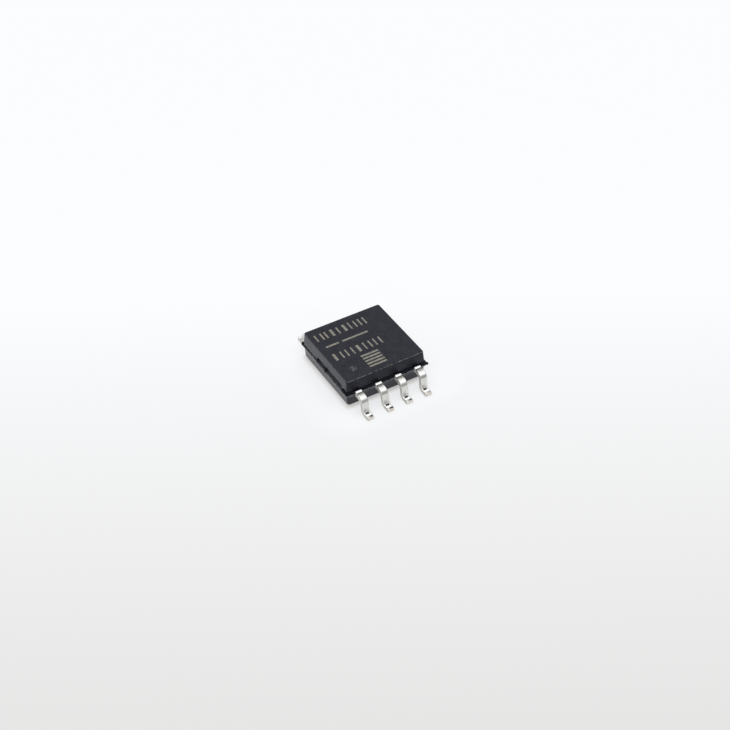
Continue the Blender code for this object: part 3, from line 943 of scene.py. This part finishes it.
def add_camera():
    """The camera of the photograph, with the roll that its horizon has."""
    toward = Vector((
        sin(CAMERA_AZIMUTH) * cos(CAMERA_ELEVATION),
        -cos(CAMERA_AZIMUTH) * cos(CAMERA_ELEVATION),
        sin(CAMERA_ELEVATION),
    ))
    level_right = (-toward).cross(Vector((0, 0, 1))).normalized()
    level_up = level_right.cross(-toward)
    right = cos(CAMERA_ROLL) * level_right + sin(CAMERA_ROLL) * level_up
    up = -sin(CAMERA_ROLL) * level_right + cos(CAMERA_ROLL) * level_up
    data = bpy.data.cameras.new("photo_camera")
    data.sensor_fit = "HORIZONTAL"
    data.sensor_width = SENSOR_WIDTH
    data.lens = FOCAL_PIXELS / IMAGE_PIXELS * data.sensor_width
    data.clip_start, data.clip_end = (reach * MM for reach in CAMERA_REACH)
    camera = bpy.data.objects.new("photo_camera", data)
    place = CAMERA_AIM + toward * CAMERA_DISTANCE + right * CAMERA_ASIDE + up * CAMERA_RAISED
    turn = Matrix((right, up, toward)).transposed().to_4x4()
    camera.matrix_world = Matrix.Translation(place * MM) @ turn
    bpy.context.scene.collection.objects.link(camera)
    bpy.context.scene.camera = camera


def add_sheet(name, corners, material):
    """A flat four-sided sheet that belongs to the studio and not to the chip."""
    mesh = bpy.data.meshes.new(name)
    mesh.from_pydata([Vector(corner) * MM for corner in corners], [], [(0, 1, 2, 3)])
    mesh.materials.append(material)
    sheet = bpy.data.objects.new(name, mesh)
    bpy.context.scene.collection.objects.link(sheet)


def table_surface():
    """White card, also to the eye and in the metal, that takes a shadow and painted light, and dims
    far away.
    """
    made = Surface("white_table", TABLE_COLOR, 0.6)
    made.set("Specular IOR Level", 0.2)
    reach = []
    for name, half in (("X", rim_x), ("Y", rim_y)):
        offset = made.sum_up("ABSOLUTE", made.axis(name))
        outside = made.sum_up("SUBTRACT", offset, half - SHADOW_INSET)
        reach.append(made.sum_up("MAXIMUM", outside, 0.0))
    away = made.sum_up("SQRT", made.sum_up("ADD", *(made.sum_up("MULTIPLY", r, r) for r in reach)))
    clear = made.spread(away, *SHADOW_REACH)
    far = made.spread(away, *FAR_REACH)
    room = tuple(SKY[0][1] * part for part in SKY_TINT)
    made.set("Base Color", made.mix(far, made.mix(clear, SHADOW_TINT, TABLE_COLOR), room))
    nodes, links = made.tree.nodes, made.tree.links
    glow = nodes.new("ShaderNodeEmission")
    nearness = made.sum_up(
        "ADD",
        made.sum_up("MULTIPLY", made.axis("X"), sin(CAMERA_AZIMUTH)),
        made.sum_up("MULTIPLY", made.axis("Y"), -cos(CAMERA_AZIMUTH)),
    )
    # Painted light: the glow dims towards the camera's side, a painted falloff of the light
    tone = made.mix(made.spread(nearness, *TABLE_TURN), TABLE_FAR, TABLE_NEAR)
    # Painted light: the glow turns white near the chip, a painted pale ring of light round its
    # shadow
    painted_halo = made.spread(away, *PAINTED_HALO_REACH, 1.0, 0.0)
    links.new(made.mix(far, made.mix(painted_halo, tone, (1, 1, 1)), room), glow.inputs["Color"])
    path = nodes.new("ShaderNodeLightPath")
    seen = made.sum_up("MAXIMUM", path.outputs["Is Camera Ray"], path.outputs["Is Glossy Ray"])
    seen = made.sum_up("MAXIMUM", seen, path.outputs["Is Transmission Ray"])
    share = made.sum_up("MULTIPLY", seen, made.spread(clear, 0, 1, SHADOW_GLOW, TABLE_GLOW))
    blend = nodes.new("ShaderNodeMixShader")
    links.new(share, blend.inputs[0])
    links.new(made.shader.outputs[0], blend.inputs[1])
    links.new(glow.outputs[0], blend.inputs[2])
    links.new(blend.outputs[0], nodes["Material Output"].inputs["Surface"])
    return made.material


def add_studio():
    """A white table under a wide soft sky, which is dim near the horizon like the room beyond."""
    corners = [(x * TABLE_HALF, y * TABLE_HALF, 0) for x, y in ((-1, -1), (1, -1), (1, 1), (-1, 1))]
    add_sheet("table", corners, table_surface())
    world = bpy.data.worlds.new("studio")
    world.use_nodes = True
    nodes, links = world.node_tree.nodes, world.node_tree.links
    way = nodes.new("ShaderNodeTexCoord").outputs["Generated"]
    split = nodes.new("ShaderNodeSeparateXYZ")
    links.new(way, split.inputs[0])
    ramp = nodes.new("ShaderNodeValToRGB")
    ramp.color_ramp.interpolation = "EASE"
    links.new(split.outputs["Z"], ramp.inputs[0])
    stops = ramp.color_ramp.elements
    while len(stops) < len(SKY):
        stops.new(0.5)
    for stop, (height, level) in zip(stops, SKY):
        stop.position = height
        stop.color = tuple(level * part / SKY_PEAK for part in SKY_TINT) + (1,)
    sky = nodes["Background"]
    sky.inputs["Strength"].default_value = SKY_PEAK
    links.new(ramp.outputs[0], sky.inputs["Color"])
    bpy.context.scene.world = world


add_camera()
add_studio()
add_body(compound_surface(), flash_surface())
tin_finishes = (tin_surface(), matt_tin_surface(), cut_tin_surface(), side_tin_surface())
for pin, column, row in pin_places():
    add_lead(pin, column, row, tin_finishes)
add_marks(mark_surface())
dress_inside()
bpy.context.scene.view_settings.view_transform = "Standard"
